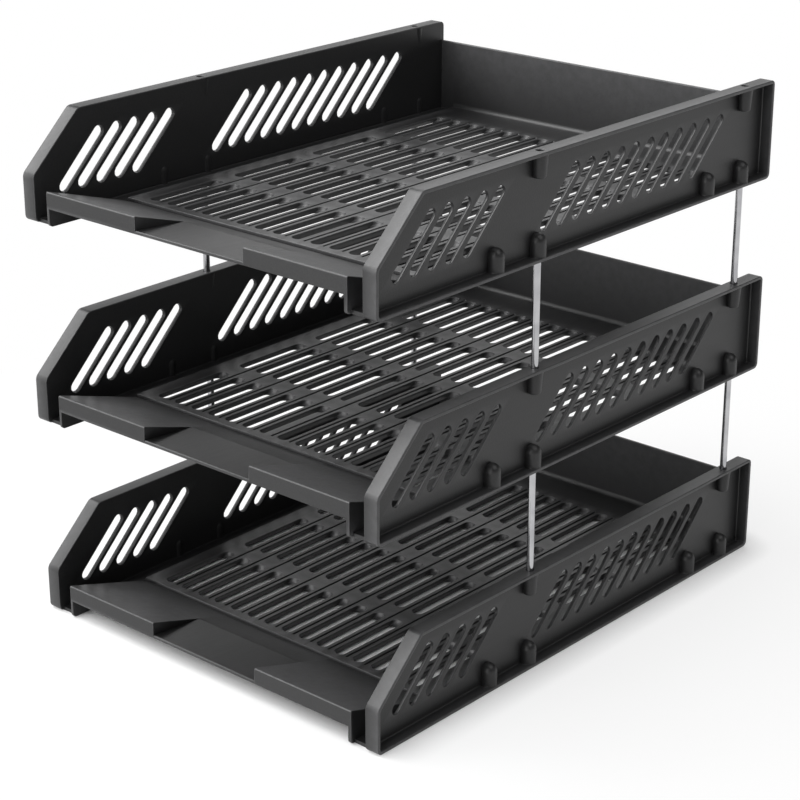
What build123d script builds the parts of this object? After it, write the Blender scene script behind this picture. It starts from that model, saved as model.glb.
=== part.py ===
"""Three moulded document trays stacked on steel riser rods.

Millimetres, +Z up, +X to the right, front at -Y, origin at the bottom centre.
Each tray is one moulding: a slotted floor with a front ramp, a back wall and two
channel-shaped sides. Rods stand in blind sockets along the sides and carry the next tray.
"""
import os
from math import atan2, degrees, floor, radians, tan

from build123d import *

# Tray
TRAY_WIDTH = 260.0
TRAY_LENGTH = 344.0
TIERS = ("bottom", "middle", "top")
GAPS = ("lower", "upper")

# Sides: a web, with a flange turned outwards all round it
SIDE_HEIGHT = 58.5
SIDE_DEPTH = 9.0
WEB = 2.2
FLANGE = 2.0
FRONT_EDGE_HEIGHT = 26.5
FRONT_SLANT_RUN = 34.0
FRONT_BEND_RADIUS = 5.0
FRONT_FOOT_BEVEL = 1.8
BACK_TOP_BEVEL = 1.2
BACK_FOOT_BEVEL = 2.8

# Slanted slots in the webs
SIDE_SLOT_WIDTH = 6.2
SIDE_SLOT_LEAN = 44.5
SIDE_SLOT_PITCH = 13.45
SIDE_SLOT_FOOT = 16.4
SIDE_SLOT_HEAD = 16.1
FRONT_SLOT_SETBACK = 21.7
REAR_SLOT_SETBACK = 7.5
SLOT_TO_BOSS = 12.0

# Floor: a raised slotted panel with a ledge along each side
FLOOR_HEIGHT = 4.0
FLOOR_THICKNESS = 2.8
LEDGE_WIDTH = 10.0
LEDGE_THICKNESS = 2.0
LEDGE_SETBACK = 3.0
FLOOR_SLOT_WIDTH = 7.2
FLOOR_SLOT_LENGTH = 53.0
FLOOR_SLOT_PITCH = 13.8
FLOOR_BAR = 13.0
FLOOR_SLOT_SETBACK = 5.5
FLOOR_SIDE_MARGIN = 6.0
FLOOR_BACK_MARGIN = 15.0
FLOOR_LAP = 3.0
SCOOP_RUN = 4.0
GROOVE_WIDTH = 1.6
GROOVE_DEPTH = 0.8

# Back wall
BACK_HEIGHT = 46.5
BACK_THICKNESS = 2.0
BACK_FILLET = 3.0

# Front ramp: a thin shell with a raised lip on each side of a lower middle
RAMP_LENGTH = 58.5
RAMP_THICKNESS = 2.0
RAMP_MIDDLE_HEIGHT = 12.0
RAMP_MIDDLE_RUN = 35.0
LIP_HEIGHT = 20.0
LIP_SPACING = 80.0
SKIRT_THICKNESS = 2.0
SKIRT_TOE_BEVEL = 2.0

# Riser rods, and the bosses with their sockets
ROD_DIAMETER = 4.0
ROD_LENGTH = 84.0
ROD_CLEARANCE = 0.15
ROD_FRONT_SETBACK = 130.5
ROD_BACK_SETBACK = 24.0
STACK_STEP = 34.5
SOCKET_DEPTH = 12.0
SOCKET_SETOUT = 4.0
SOCKET_END = 2.6
BOSS_DIAMETER = 9.4
BOSS_TIP_DIAMETER = 7.4
BOSS_CROWN_HEIGHT = 4.4
BOSS_CROWN_SLOPE = 32.0
BOSS_FACETS = 8
SOCKET_FLATS = 8

# Values that follow from the sizes above
FRONT = -TRAY_LENGTH / 2
BACK = TRAY_LENGTH / 2
OUTER = TRAY_WIDTH / 2
INNER = OUTER - SIDE_DEPTH
SKIRT = INNER - LEDGE_WIDTH
LIP = LIP_SPACING / 2
BACK_INNER = BACK - BACK_THICKNESS
RAMP_FOOT = FRONT + RAMP_LENGTH
UNDERCUT = RAMP_MIDDLE_HEIGHT - RAMP_THICKNESS
FLOOR_BOTTOM = FLOOR_HEIGHT - FLOOR_THICKNESS
SOCKET_RADIUS = ROD_DIAMETER / 2 + ROD_CLEARANCE
BOSS_HEIGHT = SOCKET_DEPTH + SOCKET_END
ROD_X = INNER + SOCKET_SETOUT
ROD_PLACES = {"front": FRONT + ROD_FRONT_SETBACK, "rear": BACK - ROD_BACK_SETBACK}
STEPPED_PLACES = {end: y - STACK_STEP for end, y in ROD_PLACES.items()}
SIDES = {"left": -1, "right": 1}
TIER_PITCH = ROD_LENGTH + SIDE_HEIGHT - 2 * SOCKET_DEPTH
STANDING = (Align.CENTER, Align.CENTER, Align.MIN)


def across(face, start, end):
    """Extrude a face in the Y-Z plane from one X to another."""
    return Pos(start, 0, 0) * extrude(face, end - start, dir=(1, 0, 0))


def section(*points):
    """A closed face in the Y-Z plane through (y, z) points."""
    return make_face(Polyline(*[(0, y, z) for y, z in points], close=True))


def slot(length, width):
    """A slot along X whose round ends are cut as half octagons."""
    corner = width / (2 + 2 ** 0.5)
    return chamfer(Rectangle(length, width).vertices(), corner)


def count_steps(reach, pitch):
    """How many places a pitch apart fit along a reach, both ends counted."""
    return floor(reach / pitch) + 1


def side_outline():
    """The side's outline in the Y-Z plane, upright in front and slanted above."""
    corners = {
        (FRONT, FRONT_FOOT_BEVEL): 0,
        (FRONT, FRONT_EDGE_HEIGHT): FRONT_BEND_RADIUS,
        (FRONT + FRONT_SLANT_RUN, SIDE_HEIGHT): FRONT_BEND_RADIUS,
        (BACK - BACK_TOP_BEVEL, SIDE_HEIGHT): 0,
        (BACK, SIDE_HEIGHT - BACK_TOP_BEVEL): 0,
        (BACK, BACK_FOOT_BEVEL): 0,
        (BACK - BACK_FOOT_BEVEL, 0): 0,
        (FRONT + FRONT_FOOT_BEVEL, 0): 0,
    }
    return make_face(FilletPolyline(*corners, radius=list(corners.values()), close=True))


def side_slots():
    """The places and the shape of one side's slanted slots, in two groups."""
    rise = SIDE_HEIGHT - SIDE_SLOT_HEAD - SIDE_SLOT_FOOT
    run = rise / tan(radians(SIDE_SLOT_LEAN))
    length = (rise ** 2 + run ** 2) ** 0.5 + SIDE_SLOT_WIDTH
    groups = (
        (FRONT + FRONT_SLOT_SETBACK, STEPPED_PLACES["front"]),
        (ROD_PLACES["front"] + REAR_SLOT_SETBACK, STEPPED_PLACES["rear"]),
    )
    shape = Rot(0, 0, SIDE_SLOT_LEAN) * slot(length, SIDE_SLOT_WIDTH)
    places = []
    for first, boss in groups:
        for step in range(count_steps(boss - SLOT_TO_BOSS - first, SIDE_SLOT_PITCH)):
            places.append((first + step * SIDE_SLOT_PITCH + run / 2, SIDE_SLOT_FOOT + rise / 2))
    return Locations(*places), shape


def side():
    """The right-hand side without its bosses."""
    outline = side_outline()
    rim = outline - offset(outline, -FLANGE)
    places, shape = side_slots()
    web = outline - [place * shape for place in places.locations]
    upright = Plane.YZ.offset(INNER)
    return extrude(upright * web, WEB) + extrude(upright * rim, SIDE_DEPTH)


def facets(diameter, count):
    """A round section cut as a polygon, with flats to the front, back and sides."""
    return RegularPolygon(diameter / 2, count, major_radius=False, rotation=180 / count)


def foot_boss(y):
    """A crowned boss on the floor flange, for a rod from below."""
    plan = facets(BOSS_DIAMETER, BOSS_FACETS)
    straight = BOSS_HEIGHT - BOSS_CROWN_HEIGHT
    crown = extrude(plan, BOSS_CROWN_HEIGHT, taper=BOSS_CROWN_SLOPE)
    return Pos(ROD_X, y, 0) * (extrude(plan, straight) + Pos(0, 0, straight) * crown)


def foot_socket(y):
    """The blind hole in a foot boss, with flats that grip a rod."""
    return Pos(ROD_X, y, 0) * extrude(facets(2 * SOCKET_RADIUS, SOCKET_FLATS), SOCKET_DEPTH)


def head_boss(y):
    """A tapered boss under the top flange, for a rod from above."""
    slope = degrees(atan2(BOSS_DIAMETER - BOSS_TIP_DIAMETER, 2 * BOSS_HEIGHT))
    column = extrude(facets(BOSS_DIAMETER, BOSS_FACETS), BOSS_HEIGHT, taper=slope)
    return Pos(ROD_X, y, SIDE_HEIGHT) * Rot(180, 0, 0) * column


def head_socket(y):
    """The round blind hole in a head boss."""
    hole = Cylinder(SOCKET_RADIUS, SOCKET_DEPTH, align=STANDING)
    return Pos(ROD_X, y, SIDE_HEIGHT - SOCKET_DEPTH) * hole


def bossed_side():
    """The right-hand side with its bosses and sockets."""
    feet = [*ROD_PLACES.values(), *STEPPED_PLACES.values()]
    heads = list(ROD_PLACES.values())
    bosses = [foot_boss(y) for y in feet] + [head_boss(y) for y in heads]
    holes = [foot_socket(y) for y in feet] + [head_socket(y) for y in heads]
    return side() + bosses - holes


def floor_slot():
    """The cut of the first slot of the middle column, scooped at its rear end."""
    front = RAMP_FOOT + FLOOR_SLOT_SETBACK
    rear = front + FLOOR_SLOT_LENGTH
    cut = section(
        (front, FLOOR_BOTTOM),
        (front, FLOOR_HEIGHT),
        (rear, FLOOR_HEIGHT),
        (rear - SCOOP_RUN, FLOOR_BOTTOM),
    )
    return across(cut, -FLOOR_SLOT_WIDTH / 2, FLOOR_SLOT_WIDTH / 2)


def floor_panel():
    """The raised floor with its rows of slots and the grooves between the columns."""
    columns = floor((SKIRT - FLOOR_SIDE_MARGIN - FLOOR_SLOT_WIDTH / 2) / FLOOR_SLOT_PITCH)
    first = RAMP_FOOT + FLOOR_SLOT_SETBACK
    last = BACK_INNER - FLOOR_BACK_MARGIN
    row_pitch = FLOOR_SLOT_LENGTH + FLOOR_BAR
    rows = count_steps(last - FLOOR_SLOT_LENGTH - first, row_pitch)
    size = (2 * SKIRT, BACK_INNER - RAMP_FOOT, FLOOR_THICKNESS)
    panel = Pos(-SKIRT, RAMP_FOOT, FLOOR_BOTTOM) * Box(*size, align=Align.MIN)
    shape = floor_slot()
    slots = [
        Pos(column * FLOOR_SLOT_PITCH, row * row_pitch, 0) * shape
        for column in range(-columns, columns + 1)
        for row in range(rows)
    ]
    groove_length = rows * row_pitch - FLOOR_BAR
    groove = Box(GROOVE_WIDTH, groove_length, 2 * GROOVE_DEPTH)
    grooves = [
        Pos((column + 0.5) * FLOOR_SLOT_PITCH, first + groove_length / 2, FLOOR_HEIGHT) * groove
        for column in range(-columns, columns)
    ]
    return panel - (slots + grooves)


def ramp_height(y):
    """The height of the ramp's lip surface at a distance behind the front."""
    return LIP_HEIGHT - (LIP_HEIGHT - LEDGE_THICKNESS) * y / RAMP_LENGTH


def front_ramp():
    """The hollow front ramp, with a hand gap between its two lips."""
    foot = RAMP_FOOT + FLOOR_LAP
    bend = FRONT + RAMP_MIDDLE_RUN
    bend_height = ramp_height(RAMP_MIDDLE_RUN)
    low = section(
        (FRONT, UNDERCUT),
        (FRONT, RAMP_MIDDLE_HEIGHT),
        (bend, bend_height),
        (RAMP_FOOT, LEDGE_THICKNESS),
        (foot, LEDGE_THICKNESS),
        (foot, 0),
        (RAMP_FOOT, 0),
        (bend, bend_height - RAMP_THICKNESS),
    )
    high = section(
        (FRONT, UNDERCUT),
        (FRONT, LIP_HEIGHT),
        (RAMP_FOOT, LEDGE_THICKNESS),
        (foot, LEDGE_THICKNESS),
        (foot, 0),
        (RAMP_FOOT, 0),
        (FRONT + RAMP_THICKNESS, ramp_height(RAMP_THICKNESS) - RAMP_THICKNESS),
        (FRONT + RAMP_THICKNESS, UNDERCUT),
    )
    cheek = section(
        (FRONT, UNDERCUT),
        (FRONT, LIP_HEIGHT),
        (bend, bend_height),
        (bend, bend_height - RAMP_THICKNESS),
    )
    skirt = section(
        (FRONT, SKIRT_TOE_BEVEL),
        (FRONT, LIP_HEIGHT),
        (RAMP_FOOT, LEDGE_THICKNESS),
        (foot, LEDGE_THICKNESS),
        (foot, 0),
        (FRONT + SKIRT_TOE_BEVEL, 0),
    )
    ramp = across(low, -LIP, LIP)
    for sign in SIDES.values():
        ramp += across(high, sign * LIP, sign * SKIRT)
        ramp += across(cheek, sign * LIP, sign * (LIP + RAMP_THICKNESS))
        ramp += across(skirt, sign * (SKIRT - SKIRT_THICKNESS), sign * SKIRT)
    return ramp


def ledge():
    """The strip between the floor's skirt and the right-hand side."""
    start = FRONT + LEDGE_SETBACK
    return Pos(SKIRT, start, 0) * Box(LEDGE_WIDTH, BACK - start, LEDGE_THICKNESS, align=Align.MIN)


def floor_skirt():
    """The skirt that joins the raised floor to the right-hand ledge."""
    size = (SKIRT_THICKNESS, BACK_INNER - RAMP_FOOT, FLOOR_HEIGHT)
    return Pos(SKIRT - SKIRT_THICKNESS, RAMP_FOOT, 0) * Box(*size, align=Align.MIN)


def back_wall():
    """The back wall, with a hollow fillet where it rises from the floor."""
    wall = section((BACK_INNER, 0), (BACK_INNER, BACK_HEIGHT), (BACK, BACK_HEIGHT), (BACK, 0))
    foot = (BACK_INNER - BACK_FILLET, FLOOR_HEIGHT)
    head = (BACK_INNER, FLOOR_HEIGHT + BACK_FILLET)
    edges = Polyline(head, (BACK_INNER, FLOOR_HEIGHT), foot) + RadiusArc(foot, head, -BACK_FILLET)
    corner = make_face(Plane.YZ * edges)
    return across(wall, -INNER, INNER) + across(corner, -SKIRT, SKIRT)


def tray():
    """One tray as a single moulding, standing on the ground."""
    right = bossed_side() + ledge() + floor_skirt()
    left = mirror(right, about=Plane.YZ)
    return right + left + floor_panel() + front_ramp() + back_wall()


def rod():
    """A riser rod, standing on the end of a socket in the lowest tray."""
    base = SIDE_HEIGHT - SOCKET_DEPTH
    return Pos(0, 0, base) * Cylinder(ROD_DIAMETER / 2, ROD_LENGTH, align=STANDING)


def main():
    """Write every tray and every rod as its own file."""
    os.makedirs("parts", exist_ok=True)
    shape = tray()
    for level, tier in enumerate(TIERS):
        export_step(Pos(0, 0, level * TIER_PITCH) * shape, f"parts/{tier}_tray.step")
    riser = rod()
    for level, gap in enumerate(GAPS):
        for end, y in ROD_PLACES.items():
            for hand, sign in SIDES.items():
                place = Pos(sign * ROD_X, y, level * TIER_PITCH)
                export_step(place * riser, f"parts/{gap}_rod_{end}_{hand}.step")


main()
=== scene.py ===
"""Looks of the three-tier document tray: satin black mouldings on polished steel rods.

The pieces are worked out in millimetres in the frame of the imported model, as grids of points,
and put into Blender's meshes in metres. The studio round them has its sizes in metres.
"""

import logging
import math
from dataclasses import dataclass, field
from enum import Enum
from typing import Sequence

import bmesh
import bpy
import numpy as np
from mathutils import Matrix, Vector
from numpy.typing import NDArray


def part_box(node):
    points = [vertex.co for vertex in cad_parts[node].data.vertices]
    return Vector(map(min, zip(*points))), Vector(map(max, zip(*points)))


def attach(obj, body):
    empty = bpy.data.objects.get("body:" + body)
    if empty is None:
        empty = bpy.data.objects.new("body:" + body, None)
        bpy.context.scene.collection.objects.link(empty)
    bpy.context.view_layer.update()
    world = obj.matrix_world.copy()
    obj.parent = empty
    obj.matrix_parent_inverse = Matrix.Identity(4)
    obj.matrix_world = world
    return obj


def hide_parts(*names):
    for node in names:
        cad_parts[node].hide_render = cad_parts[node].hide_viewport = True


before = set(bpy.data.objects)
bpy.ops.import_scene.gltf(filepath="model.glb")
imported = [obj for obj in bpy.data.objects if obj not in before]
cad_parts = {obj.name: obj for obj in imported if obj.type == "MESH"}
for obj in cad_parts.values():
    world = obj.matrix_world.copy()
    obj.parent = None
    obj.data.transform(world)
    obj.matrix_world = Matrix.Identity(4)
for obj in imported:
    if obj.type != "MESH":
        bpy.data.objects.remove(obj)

Array = NDArray[np.float64]
Corner = tuple[float, float, float]
Colour = tuple[float, float, float]
Triple = tuple[float, float, float]
Span = tuple[float, float]
Socket = bpy.types.NodeSocket

LOG = logging.getLogger("document_tray")
METRES = 0.001
UP = (0.0, 0.0, 1.0)
DOWN = (0.0, 0.0, -1.0)
FORWARD = (0.0, -1.0, 0.0)
RIGHT = (1.0, 0.0, 0.0)
LEFT = (-1.0, 0.0, 0.0)

# Millimetres: what counts as the same place, the slack in telling which points lie on an edge,
# and the radius at which a turned profile meets its axis.
SAME = 1e-6
SLACK = 1e-3
AXIS = 0.01

# Metres: the distance at which points become one, and the width of faces too thin to keep.
WELD = 4e-6
SLIVER = 1e-6

# Chords in the arc of a small edge and of a wider bend.
EDGE_STEPS = 3
BEND_STEPS = 5

# How far the large faces lead the shading of the edges between them, in percent.
FACE_WEIGHT = 90

# The range that nearly all of a noise pattern lies in.
NOISE_SPAN = (0.3, 0.7)

WHITE = (1.0, 1.0, 1.0)

# A Mix node has sockets for each kind of data: the numbers of its two colours and of their mix.
MIX_FIRST = 6
MIX_SECOND = 7
MIX_RESULT = 2


class Tier(Enum):
    """The three trays, from the desk up, each with the number of tiers below it."""

    BOTTOM = 0
    MIDDLE = 1
    TOP = 2

    @property
    def node(self) -> str:
        """Name of the tray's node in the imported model."""
        return f"{self.name.lower()}_tray"

    @property
    def body(self) -> str:
        """Name of the body that the tray moves with."""
        return f"{self.name.lower()}_tier"


class Gap(Enum):
    """The two gaps between trays that the rods span, by the tier that the rods stand in."""

    LOWER = Tier.BOTTOM
    UPPER = Tier.MIDDLE


class RodPlace(Enum):
    """The four places of a tray where rods stand."""

    FRONT_LEFT = "front_left"
    FRONT_RIGHT = "front_right"
    REAR_LEFT = "rear_left"
    REAR_RIGHT = "rear_right"


def joined(*coordinates: Array | float) -> Array:
    """Points from their coordinates, each an array or one value for all of them."""
    return np.stack(np.broadcast_arrays(*coordinates), axis=-1)


def quarter(steps: int) -> Array:
    """Angles of a quarter turn, in even steps."""
    return np.linspace(0, np.pi / 2, steps + 1)


def lattice(rows: int, columns: int, ring: bool) -> NDArray[np.int64]:
    """Quads of a grid of points numbered row by row.

    Args:
        rows: Rows of points.
        columns: Points in each row.
        ring: Whether the last column joins the first.

    Returns:
        Four point numbers for each quad, strip by strip.
    """
    row = np.arange(rows - 1)[:, None]
    column = np.arange(columns if ring else columns - 1)[None, :]
    following = (column + 1) % columns
    near, far = row * columns, (row + 1) * columns
    quads = [near + column, near + following, far + following, far + column]
    return np.stack(quads, axis=-1).reshape(-1, 4)


def rounded(
    corners: Sequence[Corner], closed: bool = False, steps: int = EDGE_STEPS
) -> tuple[Array, Array]:
    """A path through corners, each turned on an arc of its own radius.

    The arc starts radius * tan(turn / 2) before its corner, and its tangent turns evenly
    from the incoming to the outgoing direction.

    Args:
        corners: Both coordinates and the radius of each corner.
        closed: Whether the path returns to its first corner.
        steps: Chords in each arc.

    Returns:
        Points and unit tangents along the path.
    """
    spots = np.array([corner[:2] for corner in corners])
    count = len(spots)
    places, angles = [], []
    for index, (spot, radius) in enumerate(zip(spots, (corner[2] for corner in corners))):
        before, after = spot - spots[index - 1], spots[(index + 1) % count] - spot
        if not closed and index == 0:
            before = after
        if not closed and index == count - 1:
            after = before
        start = math.atan2(before[1], before[0])
        turn = (math.atan2(after[1], after[0]) - start + math.pi) % (2 * math.pi) - math.pi
        if radius == 0 or abs(turn) < SAME:
            places.append(spot[None, :])
            angles.append(np.array([start + turn / 2]))
            continue
        angle = start + turn * np.linspace(0, 1, steps + 1)
        side = math.copysign(radius, turn)
        left = joined(-np.sin(angle), np.cos(angle))
        inset = radius * math.tan(abs(turn) / 2) * before / np.linalg.norm(before)
        places.append(spot - inset + side * (left[0] - left))
        angles.append(angle)
    angle = np.concatenate(angles)
    return np.concatenate(places), joined(np.cos(angle), np.sin(angle))


def inward(tangents: Array) -> Array:
    """Unit normals to the right of a path's tangents."""
    return joined(tangents[:, 1], -tangents[:, 0])


def across(path: Array, places: Array) -> Array:
    """Carry a path of (y, z) points along X: a grid with a row for each point of the path."""
    return joined(places[None, :], path[:, :1], path[:, 1:])


def along(profile: Array, places: Array) -> Array:
    """Carry a profile of (x, z) points along Y: a grid with a row for each point of it."""
    return joined(profile[:, :1], places[None, :], profile[:, 1:])


def turned(profile: Array, segments: int) -> Array:
    """Turn a profile of (radius, height) points round Z: each row is a circle of that radius."""
    angle = np.linspace(0, 2 * np.pi, segments, endpoint=False)
    return joined(profile[:, :1] * np.cos(angle), profile[:, :1] * np.sin(angle), profile[:, 1:])


def upright(x: float, high: Array, low: Array) -> Array:
    """A flat between an upper and a lower line of (y, z) points, as two rows at every Y of either.

    Args:
        x: Plane of the flat.
        high: The upper line, by rising Y.
        low: The lower line, by rising Y.

    Returns:
        The upper and the lower row; where the lines cross, both rows are the lower line.
    """
    y = np.unique(np.concatenate([high[:, 0], low[:, 0]]).round(6))
    bottom = np.interp(y, low[:, 0], low[:, 1])
    top = np.maximum(np.interp(y, high[:, 0], high[:, 1]), bottom)
    return np.stack([joined(x, y, z) for z in (top, bottom)])


@dataclass
class Skin:
    """The patches that make up one piece, in millimetres, with the wear and painted edge highlight at
    each point.
    """

    points: list[Array] = field(default_factory=list)
    faces: list[NDArray[np.int64]] = field(default_factory=list)
    wear_and_highlight: list[Array] = field(default_factory=list)
    count: int = 0

    def add(
        self,
        grid: Array,
        toward: Sequence[float],
        ring: bool = False,
        wear_and_highlight: Array | float = 0.0,
        copies: Array | None = None,
        skip: NDArray[np.bool_] | None = None,
    ) -> None:
        """Add a grid of points as quads, its first strip facing the given way.

        Args:
            grid: Points by row and column.
            toward: Direction that the first strip of quads faces.
            ring: Whether each row closes on itself.
            wear_and_highlight: Wear and painted highlight at each point, 0 to 1.
            copies: Offsets at which the grid is repeated.
            skip: Quads that are left out.
        """
        rows, columns = grid.shape[:2]
        quads = lattice(rows, columns, ring)
        flat = grid.reshape(-1, 3)
        strip = flat[quads[: columns if ring else columns - 1]]
        normal = np.cross(strip[:, 2] - strip[:, 0], strip[:, 3] - strip[:, 1]).sum(axis=0)
        if normal @ np.asarray(toward) < 0:
            quads = quads[:, ::-1]
        if skip is not None:
            quads = quads[~skip.ravel()]
        offsets = np.zeros((1, 3)) if copies is None else copies
        placed = (flat[None, :, :] + offsets[:, None, :]).reshape(-1, 3)
        shift = np.arange(len(offsets))[:, None, None] * len(flat) + self.count
        self.points.append(placed)
        self.faces.append((quads[None, :, :] + shift).reshape(-1, 4))
        self.wear_and_highlight.append(np.tile(np.broadcast_to(wear_and_highlight, (rows, columns)).ravel(), len(offsets)))
        self.count += len(placed)

    def mirror(self) -> None:
        """Repeat every patch on the other side of the middle, with its quads turned over."""
        flip = np.array([-1.0, 1.0, 1.0])
        points = [part * flip for part in self.points]
        faces = [part[:, ::-1] + self.count for part in self.faces]
        self.points += points
        self.faces += faces
        self.wear_and_highlight += list(self.wear_and_highlight)
        self.count *= 2

    def piece(self, name: str, offset: Sequence[float], smooth_angle: float) -> bpy.types.Object:
        """Join the patches into one mesh object, in metres.

        Args:
            name: Name of the object and its mesh.
            offset: Place of the piece, in millimetres.
            smooth_angle: Largest turn between faces, in degrees, that is shaded as round.

        Returns:
            The object, at the origin, with its place in its mesh.
        """
        points = (np.concatenate(self.points) + np.asarray(offset)) * METRES
        mesh = bpy.data.meshes.new(name)
        mesh.from_pydata(points.tolist(), [], np.concatenate(self.faces).tolist())
        # Per-point lightening of edges for the material: partly wear, partly a painted highlight.
        wear_and_highlight = mesh.attributes.new("wear_and_highlight", "FLOAT", "POINT")
        wear_and_highlight.data.foreach_set("value", np.concatenate(self.wear_and_highlight).astype(np.float32))
        shell = bmesh.new()
        shell.from_mesh(mesh)
        bmesh.ops.remove_doubles(shell, verts=shell.verts, dist=WELD)
        bmesh.ops.dissolve_degenerate(shell, edges=shell.edges, dist=SLIVER)
        shell.to_mesh(mesh)
        shell.free()
        mesh.shade_smooth()
        mesh.set_sharp_from_angle(angle=math.radians(smooth_angle))
        piece = bpy.data.objects.new(name, mesh)
        bpy.context.scene.collection.objects.link(piece)
        level = piece.modifiers.new("even_faces", "WEIGHTED_NORMAL")
        level.keep_sharp = True
        level.weight = FACE_WEIGHT
        return piece


@dataclass
class TraySizes:
    """Sizes that the parts of a tray share, in millimetres."""

    front: float = -172.0
    back: float = 172.0
    outer: float = 130.0
    inner: float = 121.0
    skirt: float = 111.0
    skirt_thickness: float = 2.0
    side_height: float = 58.5
    ledge_top: float = 2.0
    ledge_front: float = -169.0
    floor_top: float = 4.0
    floor_bottom: float = 1.2
    ramp_foot: float = -113.5
    floor_lap: float = 3.0
    wall: float = 170.0
    wall_hollow: float = 0.6
    edge: float = 0.4

    @property
    def inside(self) -> float:
        """Inner face of the right-hand skirt, in X."""
        return self.skirt - self.skirt_thickness

    @property
    def flat_end(self) -> float:
        """Where the floor's flat top ends and its rounded right-hand edge starts, in X."""
        return self.skirt - self.edge


@dataclass
class FloorPanel:
    """The raised floor: columns of scooped slots with a groove between each two columns."""

    tray: TraySizes
    skin: Skin
    slot_width: float = 7.2
    slot_length: float = 53.0
    slot_end: float = 2.7
    end_points: int = 7
    slot_pitch: float = 13.8
    slots_each_side: int = 7
    rows: int = 4
    bar: float = 13.0
    setback: float = 5.5
    scoop: float = 4.0
    scoop_steps: int = 4
    slot_bevel: float = 0.35
    # Lightening of slot rims and walls, partly wear and partly a painted highlight; the scooped rear end
    # gets a painted highlight.
    rim_wear_and_highlight: float = 0.5
    wall_wear_and_highlight: float = 0.4
    scoop_highlight_reach: float = 1.3
    groove_width: float = 1.6
    groove_depth: float = 0.8
    groove_fade: float = 0.6
    groove_wear: float = 0.6
    drop_hollow: float = 0.5
    side_hollow: float = 0.7
    side_lap: float = 1.0

    @property
    def starts(self) -> Array:
        """Where the slots of each row start, in Y."""
        pitch = self.slot_length + self.bar
        return self.tray.ramp_foot + self.setback + pitch * np.arange(self.rows)

    @property
    def columns(self) -> Array:
        """Middle of each column of slots, in X."""
        return self.slot_pitch * np.arange(-self.slots_each_side, self.slots_each_side + 1)

    @property
    def half_cell(self) -> float:
        """Half of the flat width that belongs to one column."""
        return (self.slot_pitch - self.groove_width) / 2

    @property
    def rear(self) -> float:
        """Where the last row's cells end, in Y."""
        return float(self.starts[-1]) + self.slot_length + self.bar / 2

    @property
    def cell_lines(self) -> Array:
        """Every Y at which a cell's outline has a point.

        Returns:
            The values, from the first row to the last.
        """
        end, length = self.slot_end, self.slot_length
        steps = np.array([0.0, end, length - end, length, length + self.bar / 2])
        return (self.starts[:, None] + steps).ravel()

    @property
    def across_lines(self) -> Array:
        """Every X at which a cell or a groove has a point, and both ends of the flat top.

        Returns:
            The values, from left to right.
        """
        half, end = self.half_cell, self.tray.flat_end
        lines = np.unique(np.round(self.columns[:, None] + np.array([-half, 0.0, half]), 6))
        return np.concatenate([[-end], lines, [end]])

    def slot_loop(self, grow: float, shift: float, z: float) -> Array:
        """Outline of a slot with half-oval ends, from its front left corner round.

        Args:
            grow: How far outside the slot the loop runs.
            shift: How far the rear end is moved forward, for the scoop.
            z: Height of the loop.

        Returns:
            The points of the front end and then those of the rear end.
        """
        angle = np.linspace(0, np.pi, self.end_points)
        half, depth = self.slot_width / 2 + grow, self.slot_end + grow
        far = self.slot_length - self.slot_end - shift
        x = np.concatenate([-half * np.cos(angle), half * np.cos(angle)])
        y = np.concatenate([self.slot_end - depth * np.sin(angle), far + depth * np.sin(angle)])
        return joined(x, y, z)

    def cell_loop(self, margin: float, z: float) -> Array:
        """Rectangle round a slot, with a point for each point of the slot's outline.

        Args:
            margin: How far the rectangle reaches in front of the slot.
            z: Height of the loop.

        Returns:
            The points of the front half and then those of the rear half.
        """
        end, length = self.slot_end, self.slot_length
        rear = length + self.bar / 2
        x = self.half_cell * np.array([-1, -1, -1, 0, 1, 1, 1, 1, 1, 1, 0, -1, -1, -1])
        y = [end, 0, -margin, -margin, -margin, 0, end]
        y += [length - end, length, rear, rear, rear, length, length - end]
        return joined(x, np.array(y), z)

    def slot_wear_and_highlight(self, sweep: Array) -> Array:
        """Wear and painted highlight of a slot's rings: along the rim, and a painted highlight strongest
        at the middle of the scooped end.

        Args:
            sweep: Angles of the rings of the scooped wall.

        Returns:
            Wear and painted highlight by ring and point.
        """
        rim = np.concatenate([[0.0, self.rim_wear_and_highlight], self.wall_wear_and_highlight * np.cos(sweep), [0.0]])
        # Painted highlight at the middle of each scooped rear end.
        scoop_highlight = np.concatenate([[0.0, 1.0], np.cos(sweep / self.scoop_highlight_reach), [0.0]])
        middle = np.sin(np.linspace(0, np.pi, self.end_points)) ** 2
        rear = np.concatenate([np.zeros(self.end_points), middle])
        return np.clip(rim[:, None] + scoop_highlight[:, None] * rear, 0, 1)

    def add_slots(self) -> None:
        """Add every slot as rings: the flat round it, a bevel, a scooped wall and the underside.

        The scoop is a quarter of an oval in side view: steep below the bevel, and flatter and
        flatter towards the underside.
        """
        top, bottom = self.tray.floor_top, self.tray.floor_bottom
        drop = top - self.slot_bevel - bottom
        sweep = quarter(self.scoop_steps)
        shifts, heights = self.scoop * (1 - np.cos(sweep)), bottom + drop * (1 - np.sin(sweep))
        for row, start in enumerate(self.starts):
            margin = self.setback - self.tray.edge if row == 0 else self.bar / 2
            rings = [self.cell_loop(margin, top), self.slot_loop(self.slot_bevel, 0.0, top)]
            rings += [self.slot_loop(0.0, shift, z) for shift, z in zip(shifts, heights)]
            rings.append(self.cell_loop(margin, bottom))
            copies = joined(self.columns, start, 0.0)
            self.skin.add(np.stack(rings), UP, ring=True, wear_and_highlight=self.slot_wear_and_highlight(sweep), copies=copies)

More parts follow.
